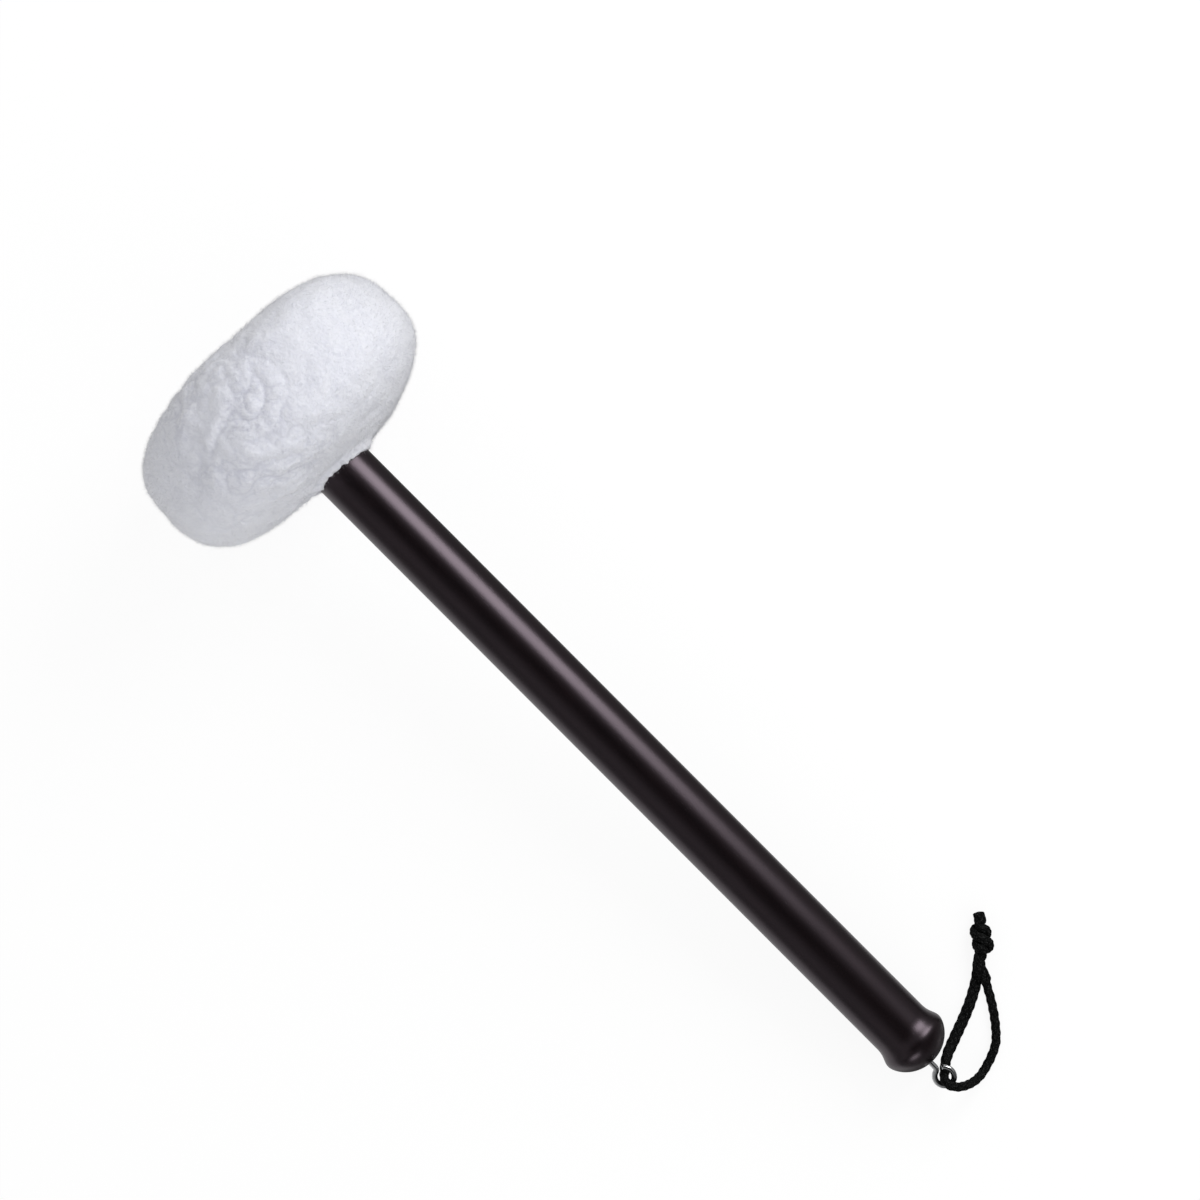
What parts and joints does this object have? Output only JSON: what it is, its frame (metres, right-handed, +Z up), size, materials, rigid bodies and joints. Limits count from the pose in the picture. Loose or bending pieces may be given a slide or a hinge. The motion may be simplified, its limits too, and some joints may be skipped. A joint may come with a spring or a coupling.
{
  "type": "gong mallet",
  "caption": "Padded fleece gong mallet on a turned dark wood handle, with a swinging cord loop through a screw eye in the butt.",
  "frame": {"origin": "middle of the mallet without its cord, on the surface that it lies on", "axes": "+X from the head to the butt, +Y to the side on which the cord loop lies, +Z up"},
  "size_m": [0.3705, 0.1118, 0.1099],
  "materials": {
    "lacquered_wood": "satin dark espresso lacquer",
    "core_wood": "bare turned hardwood",
    "zinc_steel": "zinc plated",
    "felt": "pressed wool felt",
    "fleece": "deep white fleece pile",
    "white_cord": "twisted cotton cord",
    "bright_steel": "bright plated wire",
    "black_cord": "braided black cord"
  },
  "bodies": {
    "mallet": {"handle": "lacquered_wood", "head_core": "core_wood", "head_screw": "zinc_steel", "head_washer": "zinc_steel", "felt_rim_band": "felt", "felt_front_pad": "felt", "felt_rear_pad": "felt", "fleece_cover": "fleece", "neck_drawcord": "white_cord", "eye_screw": "bright_steel"},
    "loop": {"loop_cord": "black_cord", "loop_knot": "black_cord", "loop_tail_under": "black_cord", "loop_tail_over": "black_cord"}
  },
  "joints": [
    {"name": "loop_swing", "type": "hinge", "parent": "mallet", "child": "loop", "pos_m": [0.17788, -0.0011, 0.01047], "axis": [0, 0, 1], "range_deg": [-120, 10]}
  ]
}
